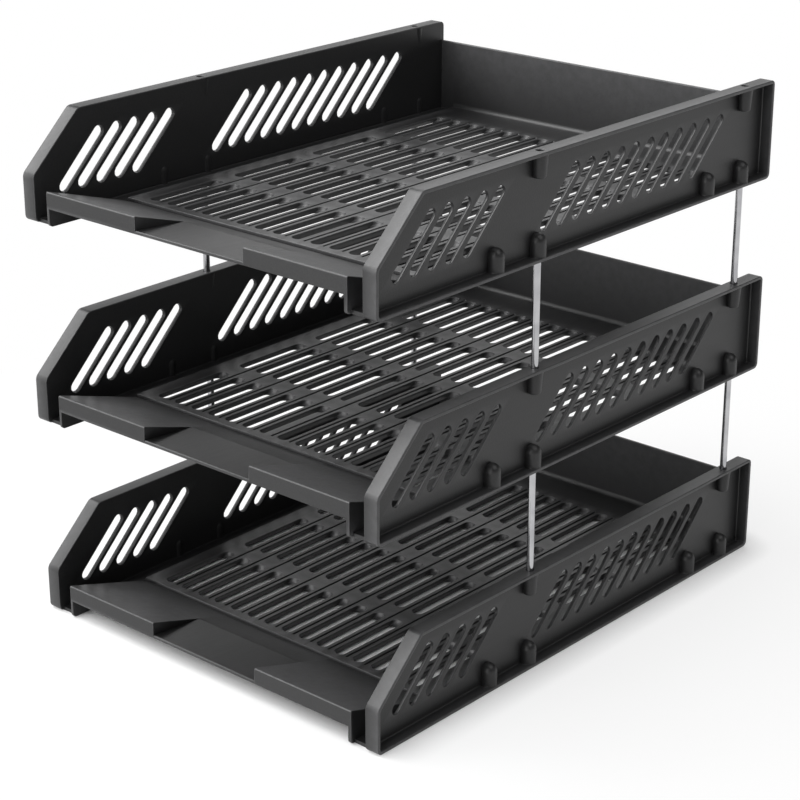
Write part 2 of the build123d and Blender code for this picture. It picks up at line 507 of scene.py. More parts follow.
    def add_grooves(self) -> None:
        """Add the groove between each two columns: a shallow U whose depth fades at its ends."""
        tray, half = self.tray, self.groove_width / 2
        first, last = self.starts[0], self.starts[-1] + self.slot_length
        ends = [first, first + self.groove_fade, last - self.groove_fade, last]
        lines = np.unique(np.concatenate([self.cell_lines, ends[1:3]]))
        lines = np.concatenate([[tray.ramp_foot + tray.edge], lines])
        deep = np.interp(lines, ends, [0, 1, 1, 0])[None, :]
        x = half * np.array([-1.0, -0.82, -0.7, 0.7, 0.82, 1.0])
        shape = np.array([0.0, 0.25, 1.0, 1.0, 0.25, 0.0])[:, None]
        grid = along(joined(x, tray.floor_top), lines)
        grid[..., 2] -= self.groove_depth * shape * deep
        wear_and_highlight = self.groove_wear * (shape < 1) * deep
        copies = joined(self.columns[:-1] + self.slot_pitch / 2, 0.0, 0.0)
        self.skin.add(grid, UP, wear_and_highlight=wear_and_highlight, copies=copies)
        under = along(joined(np.array([-half, half]), tray.floor_bottom), lines)
        self.skin.add(under, DOWN, copies=copies)

    def add_front_edge(self) -> None:
        """Add the rounded step at the front of the floor and the lap below it, carried along X."""
        tray, foot = self.tray, self.tray.ramp_foot
        corners = [
            (foot + tray.edge, tray.floor_top, 0),
            (foot, tray.floor_top, tray.edge),
            (foot, tray.ledge_top, 0),
        ]
        edge = rounded(corners)[0][1:]
        # The rounded step is lightened, partly as wear and partly as a painted highlight.
        wear_and_highlight = (edge[:, 1] > tray.ledge_top + SLACK).astype(float)[:, None]
        self.skin.add(across(edge, self.across_lines), UP, wear_and_highlight=wear_and_highlight)
        under = foot + tray.floor_lap
        lap = np.array([[foot, 0.0], [under, 0.0], [under, tray.floor_bottom]])
        self.skin.add(across(lap, np.array([-tray.inside, tray.inside])), DOWN)

    def add_gutters(self) -> None:
        """Add the right-hand margin, its rounded drop to the ledge and the ledge's hollow foot.

        One profile, from the margin down to the ledge and out to the side, is carried along Y.
        It has a point at either end and four on each of its three arcs.
        """
        tray, foot = self.tray, self.tray.ramp_foot
        margin, start = self.columns[-1] + self.half_cell, foot + tray.floor_lap
        corners = [
            (margin, tray.floor_top, 0),
            (tray.skirt, tray.floor_top, tray.edge),
            (tray.skirt, tray.ledge_top, self.drop_hollow),
            (tray.inner, tray.ledge_top, self.side_hollow),
            (tray.inner, tray.ledge_top + self.side_lap, 0),
        ]
        profile, _ = rounded(corners)
        rim, drop, below = slice(1, 5), slice(4, 9), slice(5, None)
        ledge, rise = slice(8, 10), slice(9, None)
        # The rounded rim is lightened, partly as wear and partly as a painted highlight.
        wear_and_highlight = np.zeros((len(profile), 1))
        wear_and_highlight[rim] = 1.0
        step = [(start, tray.floor_top, 0), (foot, tray.floor_top, tray.edge), (foot, 0, 0)]
        arc = rounded(step)[0][rim][::-1]
        lines = np.concatenate([arc[:, 0], self.cell_lines])
        ceiling = np.concatenate([arc[:, 1], np.full(len(self.cell_lines), np.inf)])
        grid = along(profile, lines)
        grid[..., 2] = np.minimum(grid[..., 2], ceiling[None, :])
        self.skin.add(grid, UP, wear_and_highlight=wear_and_highlight)
        corner = grid[rim, 0]
        self.skin.add(np.stack([corner, corner * (1, 1, 0) + (0, 0, tray.ledge_top)]), FORWARD)
        rear = along(profile, np.array([self.rear, tray.wall]))
        # The rear end of the rim is lightened, partly as wear and partly as a painted highlight.
        self.skin.add(rear[rim], UP, wear_and_highlight=1.0)
        self.skin.add(rear[drop], RIGHT)
        self.skin.add(rear[rise], LEFT)
        self.skin.add(along(profile[ledge], np.array([self.rear, tray.wall - tray.wall_hollow])), UP)
        shelf = along(profile[below], np.array([tray.ledge_front, foot]))
        self.skin.add(shelf, UP)
        self.skin.add(np.stack([shelf[:, 0], shelf[:, 0] * (1, 1, 0)]), FORWARD)
        under = joined(np.array([margin, tray.inside]), tray.floor_bottom)
        self.skin.add(along(under, np.array([start, self.rear])), DOWN)
        inner_side = joined(tray.inside, np.array([tray.floor_bottom, 0.0]))
        self.skin.add(along(inner_side, np.array([start, tray.wall])), LEFT)
        sole = joined(np.array([tray.inside, tray.inner + tray.edge]), 0.0)
        self.skin.add(along(sole, np.array([tray.ledge_front, tray.wall])), DOWN)


@dataclass
class FrontRamp:
    """The hollow front ramp: two lips beside a lower hand gap, with a skirt at each end."""

    tray: TraySizes
    skin: Skin
    lip_top: float = 20.0
    middle_top: float = 12.0
    middle_run: float = 35.0
    lip_inner: float = 40.0
    thickness: float = 2.0
    toe: float = 2.2
    brow: float = 0.9
    middle_brow: float = 0.8
    middle_bend: float = 6.0
    turn_under: float = 1.0
    end_fade: float = 0.8

    @property
    def undercut(self) -> float:
        """Height of the open space below the ramp's front edge."""
        return self.middle_top - self.thickness

    @property
    def bend(self) -> float:
        """Where the lower middle meets the lips' plane, in Y."""
        return self.tray.front + self.middle_run

    @property
    def meet(self) -> float:
        """Height at which the lower middle meets the lips' plane."""
        return float(self.slope(np.array(self.bend)))

    @property
    def behind(self) -> float:
        """Inner face of a lip's front, in Y."""
        return self.tray.front + self.thickness

    @property
    def roof(self) -> float:
        """Height of the hollow below a lip, just behind the lip's front."""
        return float(self.slope(np.array(self.behind))) - self.thickness

    @property
    def cheek(self) -> float:
        """Inner face of the right-hand lip's cheek, in X."""
        return self.lip_inner + self.thickness

    def slope(self, y: Array) -> Array:
        """Height of the lips' plane, which falls evenly from the front to the ramp's foot."""
        tray = self.tray
        return np.interp(y, [tray.front, tray.ramp_foot], [self.lip_top, tray.ledge_top])

    def middle(self, y: Array) -> Array:
        """Height of the lower middle, which meets the lips' plane at the end of its run."""
        heights = [self.middle_top, self.meet, self.tray.ledge_top]
        return np.interp(y, [self.tray.front, self.bend, self.tray.ramp_foot], heights)

    def outer_path(self, *crest: Corner) -> tuple[Array, Array]:
        """A path from below the ramp's front edge up and back to the ramp's foot.

        Args:
            crest: Its corners between the front edge and the foot.

        Returns:
            Points and unit tangents along the path.
        """
        front, foot = self.tray.front, self.tray.ramp_foot
        below = [(front + self.turn_under, self.undercut, 0), (front, self.undercut, self.tray.edge)]
        return rounded([*below, *crest, (foot, self.tray.ledge_top, 0)])

    def middle_path(self) -> Array:
        """The lower middle's outer path, with its rounded front edge and its wide bend."""
        edge = (self.tray.front, self.middle_top, self.middle_brow)
        return self.outer_path(edge, (self.bend, self.meet, self.middle_bend))[0]

    def add_lip(self) -> None:
        """Add the right-hand lip, its cheek and its skirt's outer face.

        The lip's path is carried along X, and drawn in by up to an edge radius along its own
        normal near both ends, which rounds them.
        """
        tray, edge = self.tray, self.tray.edge
        face_top = (tray.front, self.lip_top, self.brow)
        path, tangents = self.outer_path(
            (tray.front, self.middle_top, 0), face_top, (self.bend, self.meet, 0)
        )
        peak = int(np.argmax(path[:, 1]))
        face = int(np.argmax(path[:, 1] > self.middle_top - SAME))
        angle = quarter(EDGE_STEPS)
        turn_x, turn_in = edge * (1 - np.cos(angle)), edge * (1 - np.sin(angle))
        x = np.concatenate([self.lip_inner + turn_x, tray.skirt - turn_x[::-1]])
        free_in = np.clip((path[:, 1] - self.middle(path[:, 0])) / self.end_fade, 0, 1)
        free_out = np.clip((path[:, 1] - tray.ledge_top) / self.end_fade, 0, 1)
        drawn = np.hstack([free_in[:, None] * turn_in, free_out[:, None] * turn_in[::-1]])
        grid = across(path, x)
        grid[..., 1:] += inward(tangents)[:, None, :] * drawn[..., None]
        # The lip's rounded ends and its top edge are lightened, partly as wear and partly as a painted
        # highlight.
        wear_and_highlight = np.zeros(grid.shape[:2])
        wear_and_highlight[:, :EDGE_STEPS] = 1.0
        wear_and_highlight[:, -EDGE_STEPS:] = 1.0
        wear_and_highlight[peak - 2 : peak + 2] = 1.0
        self.skin.add(grid, DOWN, wear_and_highlight=wear_and_highlight)
        base = self.middle_path()
        base = base[int(np.argmax(base[:, 1] > self.undercut + edge + SAME)) :]
        top = grid[face:, 0]
        top = top[top[:, 1] <= self.bend + SAME]
        self.skin.add(upright(self.lip_inner, top[:, 1:], base[base[:, 0] <= self.bend]), LEFT)
        heel, reach = tray.front + self.toe, self.toe - edge
        angle = quarter(BEND_STEPS)
        sole = joined(heel - reach * np.cos(angle), self.toe - reach * np.sin(angle))
        self.skin.add(upright(tray.skirt, grid[face + 1 :, -1, 1:], sole), RIGHT)

    def add_skirt(self) -> None:
        """Add the right-hand skirt's rounded toe, its sole and its inner face.

        The path round the toe is carried along X, and drawn in near the outer face as on the lip.
        """
        tray, edge = self.tray, self.tray.edge
        corners = [
            (tray.front, self.undercut + edge, 0),
            (tray.front, 0.0, self.toe),
            (tray.ramp_foot + tray.floor_lap, 0.0, 0),
        ]
        path, tangents = rounded(corners, steps=BEND_STEPS)
        angle = quarter(EDGE_STEPS)[::-1]
        x = np.concatenate([[tray.inside], tray.skirt - edge * (1 - np.cos(angle))])
        drawn = np.concatenate([[0.0], edge * (1 - np.sin(angle))])
        grid = across(path, x)
        grid[..., 1:] -= inward(tangents)[:, None, :] * drawn[None, :, None]
        # The skirt's outer rounded edge is lightened, partly as wear and partly as a painted highlight.
        self.skin.add(grid, FORWARD, wear_and_highlight=(x > tray.inside).astype(float)[None, :])
        above = [[tray.front, self.undercut + edge], [self.behind - SLACK, self.undercut + edge]]
        above += [[self.behind, self.roof], [tray.ramp_foot, 0.0]]
        self.skin.add(upright(tray.inside, np.array(above), grid[1:, 0, 1:]), LEFT)

    def add_middle(self) -> None:
        """Add the lower middle's top and the underside below it, both carried along X."""
        tray = self.tray
        path = self.middle_path()
        # The rounded front brow is lightened, partly as wear and partly as a painted highlight.
        wear_and_highlight = (np.abs(path[:, 1] - self.middle_top) < self.brow).astype(float)[:, None]
        self.skin.add(across(path, np.array([-self.lip_inner, self.lip_inner])), DOWN, wear_and_highlight=wear_and_highlight)
        low = [[tray.front + self.turn_under, self.undercut], [self.bend, self.meet - self.thickness]]
        low.append([tray.ramp_foot, 0.0])
        self.skin.add(across(np.array(low), np.array([-self.cheek, self.cheek])), DOWN)

    def add_underside(self) -> None:
        """Add the hollow below the right-hand lip and the inner face of its cheek."""
        tray = self.tray
        path = [[tray.front + self.turn_under, self.undercut], [self.behind, self.undercut]]
        path += [[self.behind, self.roof], [tray.ramp_foot, 0.0]]
        self.skin.add(across(np.array(path), np.array([self.cheek, tray.inside])), DOWN)
        y = np.array([self.behind, self.bend])
        rows = [joined(self.cheek, y, z - self.thickness) for z in (self.slope(y), self.middle(y))]
        self.skin.add(np.stack(rows), RIGHT)


@dataclass
class BackWall:
    """The back wall, which rises from the floor in a hollow curve."""

    tray: TraySizes
    skin: Skin
    height: float = 46.5
    hollow: float = 3.0
    top_edge: float = 0.7
    sole_edge: float = 0.6
    foot_reach: float = 2.0

    def rim_wear_and_highlight(self, path: Array) -> Array:
        """Wear and painted highlight of a path's points: on the rounded rim and nowhere else."""
        return (path[:, 1] > self.height - self.top_edge - SLACK).astype(float)[:, None]

    def add(self, floor: FloorPanel) -> None:
        """Carry the wall's profile along X, in the middle and over both ledges.

        Args:
            floor: The floor whose rear margin the wall takes up.
        """
        tray = self.tray
        rim = [
            (tray.wall, self.height, self.top_edge),
            (tray.back, self.height, self.top_edge),
            (tray.back, 0.0, self.sole_edge),
            (tray.wall, 0.0, 0),
        ]
        rise = [(floor.rear, tray.floor_top, 0), (tray.wall, tray.floor_top, self.hollow)]
        under = [(tray.wall, tray.floor_bottom, 0), (floor.rear, tray.floor_bottom, 0)]
        path, _ = rounded([*rise, *rim, *under], steps=BEND_STEPS)
        self.skin.add(across(path, floor.across_lines), UP, wear_and_highlight=self.rim_wear_and_highlight(path))
        curve = path[1 : BEND_STEPS + 2]
        post = joined(tray.wall, curve[:, 1])
        ledge = [(tray.wall - self.foot_reach, tray.ledge_top, 0)]
        ledge.append((tray.wall, tray.ledge_top, tray.wall_hollow))
        outer = rounded([*ledge, *rim], steps=BEND_STEPS)[0][1:]
        for sign, way in ((1.0, RIGHT), (-1.0, LEFT)):
            end = sign * tray.flat_end
            self.skin.add(np.stack([joined(end, line[:, 0], line[:, 1]) for line in (curve, post)]), way)
            span = np.array([end, sign * tray.inner])
            self.skin.add(across(outer, span), UP, wear_and_highlight=self.rim_wear_and_highlight(outer))


@dataclass
class ChannelSide:
    """The right-hand side: a slotted web with a flange turned outwards all round it."""

    tray: TraySizes
    skin: Skin
    web: float = 2.2
    flange: float = 2.0
    root: float = 0.7
    rim: float = 0.5
    face_lap: float = 0.4
    front_height: float = 26.5
    slant_run: float = 34.0
    bend: float = 5.0
    front_foot: float = 3.2
    rear_head: float = 2.8
    rear_foot: float = 3.4
    front_zone: float = -100.0
    rear_zone: float = 160.0
    slot_width: float = 6.2
    slot_lean: float = 44.5
    slot_pitch: float = 13.45
    slot_foot: float = 16.4
    slot_head: float = 16.1
    slot_bevel: float = 0.25
    slot_flare: float = 0.6
    slot_shoulder: float = 2.6
    flare_depth: float = 1.1
    end_points: int = 7
    slot_groups: tuple[tuple[float, int], ...] = ((-150.3, 5), (-34.0, 11))
    # Lightening of each ring of a web slot, partly wear and partly a painted highlight.
    slot_wear_and_highlight: tuple[float, ...] = (0.0, 0.5, 0.0, 0.0, 0.3, 0.0)
    cell_low: float = 11.0
    cell_high: float = 48.0
    rod_x: float = 125.0
    head_places: tuple[float, ...] = (-41.5, 148.0)
    foot_places: tuple[float, ...] = (-76.0, -41.5, 113.5, 148.0)
    socket_radius: float = 2.15
    socket_depth: float = 12.0
    socket_bevel: float = 0.35
    socket_chamfer: float = 0.5
    socket_half_cell: float = 4.1
    socket_wear: tuple[float, ...] = (0.0, 0.8, 0.8, 0.0, 0.0, 0.0)
    boss_radius: float = 4.7
    boss_tip: float = 3.7
    boss_height: float = 14.6
    boss_segments: int = 32
    boss_sunk: float = 1.0
    collar: tuple[Span, ...] = ((0.22, 1.0), (0.22, 2.0), (0.06, 2.3), (0.0, 2.8))
    neck: float = 0.6
    tip_edge: float = 1.2
    dome: float = 4.9
    dome_steps: int = 6
    # Strength of the painted highlight on the upper half of each foot boss's dome.
    dome_highlight: float = 0.5

    @property
    def face(self) -> float:
        """Outer face of the web, in X."""
        return self.tray.inner + self.web

    @property
    def inner_inset(self) -> float:
        """Distance of the inner face's edge from the outline."""
        return self.tray.edge + self.face_lap

    @property
    def shear(self) -> float:
        """How far back a slot runs for each millimetre that it rises."""
        return 1 / math.tan(math.radians(self.slot_lean))

    @property
    def slot_rise(self) -> float:
        """Height of a slot between the middles of its ends."""
        return self.tray.side_height - self.slot_head - self.slot_foot

    def leaning(self, place: float, z: Array | float) -> Array | float:
        """Y of a cell's leaning side, given its place at the height of the slots' feet."""
        return place + (z - self.slot_foot) * self.shear

    def outline(self) -> tuple[Array, Array]:
        """The side's outline, from the front foot up, with two points beside each socket.

        Returns:
            The outline's (y, z) points and their inward normals.
        """
        tray, half = self.tray, self.socket_half_cell
        top, front, back = tray.side_height, tray.front, tray.back
        corners = [
            (front, 0.0, self.front_foot),
            (front, self.front_height, self.bend),
            (front + self.slant_run, top, self.bend),
        ]
        corners += [(y + way * half, top, 0) for y in self.head_places for way in (-1, 1)]
        corners += [(back, top, self.rear_head), (back, 0.0, self.rear_foot)]
        corners += [(y + way * half, 0.0, 0) for y in self.foot_places[::-1] for way in (1, -1)]
        path, tangents = rounded(corners, closed=True, steps=BEND_STEPS)
        return path, inward(tangents)

    def add_flange(self) -> None:
        """Carry the flange's profile round the outline, with gaps where the sockets are.

        The profile runs from the web's outer face up the flange, over its rounded rim and back
        along its outside to the web's inner face. Its first coordinate is measured inwards
        from the outline. It has a point at either end and four on each of its four arcs.
        """
        tray = self.tray
        corners = [
            (self.flange + self.root, self.face, 0),
            (self.flange, self.face, self.root),
            (self.flange, tray.outer, self.rim),
            (0.0, tray.outer, self.rim),
            (0.0, tray.inner, tray.edge),
            (self.inner_inset, tray.inner, 0),
        ]
        profile, _ = rounded(corners)
        path, normal = self.outline()
        grid = np.empty((len(profile), len(path), 3))
        grid[..., 0] = profile[:, None, 1]
        grid[..., 1:] = path[None] + normal[None] * profile[:, None, :1]
        rim, inner_edge = slice(5, 13), slice(14, 17)
        # The flange's rim and inner edge are lightened, partly as wear and partly as a painted
        # highlight.
        wear_and_highlight = np.zeros((len(profile), 1))
        wear_and_highlight[rim] = 1.0
        wear_and_highlight[inner_edge] = 1.0
        ahead = np.roll(path, -1, axis=0)
        middle, length = (path + ahead) / 2, np.linalg.norm(ahead - path, axis=1)
        level = np.abs(path[:, 1] - ahead[:, 1]) < SAME
        short = level & (np.abs(length - 2 * self.socket_half_cell) < SLACK)
        skip = np.zeros((len(profile) - 1, len(path)), bool)
        flat = int(np.argmax(np.abs(np.diff(profile[:, 1])) * (profile[1:, 0] < SAME)))
        skip[flat, short] = True
        self.skin.add(grid, RIGHT, ring=True, wear_and_highlight=wear_and_highlight, skip=skip)
        span = np.sort(profile[[flat, flat + 1], 1])
        for y, z in middle[short]:
            self.add_socket(y, z, 1.0 if z < SLACK else -1.0, span)

    def add_socket(self, y: float, z: float, inwards: float, span: Array) -> None:
        """Add a bevelled blind hole in the flange, inside the rectangle left open for it.

        The rectangle and the circles of the hole are rings of as many points, four on a side.

        Args:
            y: Place of the socket.
            z: Height of the flange's outer face.
            inwards: Way into the flange along Z, 1 or -1.
            span: The rectangle's two X values.
        """
        step, one = np.linspace(1, -1, 4, endpoint=False), np.ones(4)
        u = np.concatenate([step, -one, -step, one])
        v = np.concatenate([one, step, -one, -step])
        rings = [joined(span.mean() + u * np.ptp(span) / 2, y + v * self.socket_half_cell, z)]
        angle = np.pi / 4 + np.linspace(0, 2 * np.pi, len(u), endpoint=False)
        radius, depth, chamfer = self.socket_radius, self.socket_depth, self.socket_chamfer
        levels = [(radius + self.socket_bevel, 0.0), (radius, self.socket_bevel)]
        levels += [(radius, depth - chamfer), (radius - chamfer, depth), (AXIS, depth)]
        for reach, sunk in levels:
            x, across_y = self.rod_x + reach * np.cos(angle), y + reach * np.sin(angle)
            rings.append(joined(x, across_y, z + inwards * sunk))
        wear_and_highlight = np.array(self.socket_wear)[:, None]
        self.skin.add(np.stack(rings), (0.0, 0.0, -inwards), ring=True, wear_and_highlight=wear_and_highlight)

    def slot_loop(self, grow: float, x: float) -> Array:
        """Outline of a slot with half-round ends, from the left of its foot round, about its foot.

        Args:
            grow: How far outside the slot the loop runs.
            x: Plane of the loop.

        Returns:
            The points of the foot's end and then those of the head's end.
        """
        lean = math.radians(self.slot_lean)
        ahead = np.array([math.cos(lean), math.sin(lean)])
        left = np.array([-ahead[1], ahead[0]])
        head = np.array([self.slot_rise * self.shear, self.slot_rise])
        angle = np.linspace(0, np.pi, self.end_points)[:, None]
        radius = self.slot_width / 2 + grow
        foot_end = radius * (left * np.cos(angle) - ahead * np.sin(angle))
        head_end = head + radius * (ahead * np.sin(angle) - left * np.cos(angle))
        flat = np.concatenate([foot_end, head_end])
        return joined(x, flat[:, 0], flat[:, 1])

    def cell_loop(self, x: float) -> Array:
        """Leaning cell round a slot, with a point for each point of the slot, about its foot.

        Args:
            x: Plane of the loop.

        Returns:
            The points round the foot's end and then those round the head's end.
        """
        rise, shoulder = self.slot_rise, self.slot_shoulder
        low, high = self.cell_low - self.slot_foot, self.cell_high - self.slot_foot
        u = np.array([-1, -1, -0.5, 0.1, 0.55, 1, 1, 1, 1, 0.5, -0.1, -0.55, -1, -1])
        z = [shoulder, low, low, low, low, low, shoulder]
        z += [rise - shoulder, high, high, high, high, high, rise - shoulder]
        height = np.array(z)
        return joined(x, self.slot_pitch / 2 * u + height * self.shear, height)

    def add_slots(self) -> None:
        """Add every slanted slot as rings: outer face, bevel, wall, flare and inner face."""
        face, inner, bevel = self.face, self.tray.inner, self.slot_bevel
        rings = [
            self.cell_loop(face),
            self.slot_loop(bevel, face),
            self.slot_loop(0.0, face - bevel),
            self.slot_loop(0.0, inner + self.flare_depth),
            self.slot_loop(self.slot_flare, inner),
            self.cell_loop(inner),
        ]
        wear_and_highlight = np.array(self.slot_wear_and_highlight)[:, None]
        groups = [start + self.slot_pitch * np.arange(count) for start, count in self.slot_groups]
        copies = joined(0.0, np.concatenate(groups), self.slot_foot)
        self.skin.add(np.stack(rings), RIGHT, ring=True, wear_and_highlight=wear_and_highlight, copies=copies)

    def add_web_face(self, x: float, inset: float, toward: Sequence[float]) -> None:
        """Add the flat of the web round the slots, on one face, in level bands.

        Every band is ruled between the front and the rear edge of the face, which are the
        parts of the outline beyond the front and the rear zone, and its inner lines follow
        the lean of the slots' cells.

        Args:
            x: Plane of the face.
            inset: Distance of the face's edge from the outline.
            toward: Direction that the face looks.
        """
        path, normal = self.outline()
        edge = path + normal * inset
        edge = edge[np.argsort(edge[:, 1], kind="stable")]
        front, rear = edge[edge[:, 0] < self.front_zone], edge[edge[:, 0] > self.rear_zone]
        top, low, high = self.tray.side_height - inset, self.cell_low, self.cell_high
        rise = (edge[:, 1] > inset + SAME) & (edge[:, 1] < top - SAME)
        turns = np.unique(np.round(edge[rise, 1], 4))
        pitch = self.slot_pitch
        groups = [start - pitch / 2 + pitch * np.arange(n + 1) for start, n in self.slot_groups]
        bands = []
        for bottom, crest, at in ((inset, low, low), (high, top, high)):
            within = turns[(turns > bottom) & (turns < crest)]
            levels = np.unique(np.concatenate([[bottom, crest], within]))
            lines = [np.interp(levels, front[:, 1], front[:, 0])]
            lines += [np.full_like(levels, self.leaning(y, at)) for y in np.concatenate(groups)]
            lines.append(np.interp(levels, rear[:, 1], rear[:, 0]))
            bands.append((levels, lines))
        cell = self.cell_loop(x)[:, 2] + self.slot_foot
        within = turns[(turns > low) & (turns < high)]
        levels = np.unique(np.concatenate([np.round(cell, 6), within]))
        lines = [np.interp(levels, front[:, 1], front[:, 0])]
        lines += [self.leaning(group[end], levels) for group in groups for end in (0, -1)]
        lines.append(np.interp(levels, rear[:, 1], rear[:, 0]))
        bands += [(levels, lines[first : first + 2]) for first in range(0, len(lines), 2)]
        for levels, lines in bands:
            self.skin.add(joined(x, np.stack(lines), levels), toward)

    def add_bosses(self) -> None:
        """Add the foot bosses and the tapered head bosses as turned profiles.

        A foot boss has a collar at its root and ends in a quarter of an oval, which makes its
        dome. The upper half of the dome is painted lighter, a painted highlight.
        """
        top, radius = self.tray.side_height, self.boss_radius
        straight = self.boss_height - self.dome
        angle = quarter(self.dome_steps)
        dome = joined(radius * np.cos(angle), straight + self.dome * np.sin(angle))
        dome[-1, 0] = AXIS
        foot = np.concatenate([np.array(self.collar) + (radius, 0.0), dome])
        # Painted highlight on the upper half of each foot boss's dome.
        wear_and_highlight = np.zeros((len(foot), 1))
        upper = self.dome_steps // 2 + 1
        wear_and_highlight[-upper:, 0] = np.linspace(0, self.dome_highlight, upper)
        tip = top - self.boss_height
        corners = [
            (radius, top - self.boss_sunk, 0),
            (radius, top - self.flange - self.neck, 0),
            (self.boss_tip, tip, self.tip_edge),
            (AXIS, tip, 0),
        ]
        head, _ = rounded(corners)
        for profile, y, rub_and_highlight in ((foot, self.foot_places, wear_and_highlight), (head, self.head_places, 0.0)):
            copies = joined(self.rod_x, np.array(y), 0.0)
            self.skin.add(turned(profile, self.boss_segments), RIGHT, ring=True, wear_and_highlight=rub_and_highlight, copies=copies)

    def add(self) -> None:
        """Add the whole side."""
        self.add_flange()
        self.add_slots()
        self.add_web_face(self.face, self.flange + self.root, RIGHT)
        self.add_web_face(self.tray.inner, self.inner_inset, LEFT)
        self.add_bosses()


class Nodes:
    """A node tree of a material or of the world, with short calls for the nodes that recur."""

    def __init__(self, owner: bpy.types.Material | bpy.types.World) -> None:
        """Start an empty node tree.

        Args:
            owner: The material or world that the tree belongs to.
        """
        owner.use_nodes = True
        self.tree = owner.node_tree
        self.tree.nodes.clear()
        kind = "Material" if isinstance(owner, bpy.types.Material) else "World"
        self.output = self.tree.nodes.new(f"ShaderNodeOutput{kind}")

    def add(
        self, kind: str, inputs: dict[str | int, object] | None = None, **values: object
    ) -> bpy.types.Node:
        """Add a node.

        Args:
            kind: Blender's name of the node.
            inputs: What its sockets get, by name or number: a socket to link, or a value.
            values: Values of its own properties.

        Returns:
            The node.
        """
        node = self.tree.nodes.new(kind)
        for name, value in values.items():
            setattr(node, name, value)
        for name, value in (inputs or {}).items():
            socket = node.inputs[name]
            if isinstance(value, Socket):
                self.tree.links.new(value, socket)
            else:
                socket.default_value = (*value, 1.0) if socket.type == "RGBA" else value
        return node

    def show(self, shader: Socket) -> None:
        """Make a shader the one that the owner shows."""
        self.tree.links.new(shader, self.output.inputs["Surface"])

    def place(self) -> Socket:
        """Object coordinates of the surface."""
        return self.add("ShaderNodeTexCoord").outputs["Object"]

    def stretched(self, place: Socket, scale: Triple) -> Socket:
        """A place with its coordinates multiplied, each by its own factor."""
        return self.add("ShaderNodeMapping", {"Vector": place, "Scale": scale}).outputs["Vector"]

    def noise(self, place: Socket, scale: float, detail: float, rough: float = 0.5) -> Socket:
        """A noise pattern's strength, 0 to 1, at a place."""
        inputs = {"Vector": place, "Scale": scale, "Detail": detail, "Roughness": rough}
        return self.add("ShaderNodeTexNoise", inputs).outputs["Fac"]

    def spread(self, value: Socket, source: Span, target: Span) -> Socket:
        """A value moved from one range to another and kept inside it."""
        limits = dict(zip(("From Min", "From Max", "To Min", "To Max"), (*source, *target)))
        return self.add("ShaderNodeMapRange", {"Value": value, **limits}).outputs["Result"]

    def work(self, kind: str, first: Socket, second: Socket | float) -> Socket:
        """Two values put together by a Math node of that kind."""
        return self.add("ShaderNodeMath", {0: first, 1: second}, operation=kind).outputs["Value"]

    def blend(self, share: Socket, first: Socket | Colour, second: Socket | Colour) -> Socket:
        """A colour between two, by the share of the second one."""
        inputs = {"Factor": share, MIX_FIRST: first, MIX_SECOND: second}
        return self.add("ShaderNodeMix", inputs, data_type="RGBA").outputs[MIX_RESULT]

    def relief(self, height: Socket, strength: float, distance: float) -> Socket:
        """The normal of a surface with a fine relief of that strength and height in metres."""
        inputs = {"Height": height, "Strength": strength, "Distance": distance}
        return self.add("ShaderNodeBump", inputs).outputs["Normal"]

    def vector(self, kind: str, first: Socket, second: Triple = (0.0, 0.0, 0.0)) -> bpy.types.Node:
        """A Vector Math node of that kind."""
        return self.add("ShaderNodeVectorMath", {0: first, 1: second}, operation=kind)

    def beyond_box(self, place: Socket, half: Triple) -> Socket:
        """Distance of a place from a box about the origin: the length of what reaches past it.

        Args:
            place: The place.
            half: Half of each side of the box, in metres.

        Returns:
            The distance, 0 inside the box.
        """
        size = self.vector("ABSOLUTE", place)
        past = self.vector("SUBTRACT", size.outputs["Vector"], half)
        outside = self.vector("MAXIMUM", past.outputs["Vector"])
        return self.vector("LENGTH", outside.outputs["Vector"]).outputs["Value"]

    def seen_directly(self) -> Socket:
        """One for rays from the camera and for reflected and transmitted ones, otherwise zero.

        Returns:
            The value.
        """
        path = self.add("ShaderNodeLightPath").outputs
        either = self.work("MAXIMUM", path["Is Camera Ray"], path["Is Glossy Ray"])
        return self.work("MAXIMUM", either, path["Is Transmission Ray"])


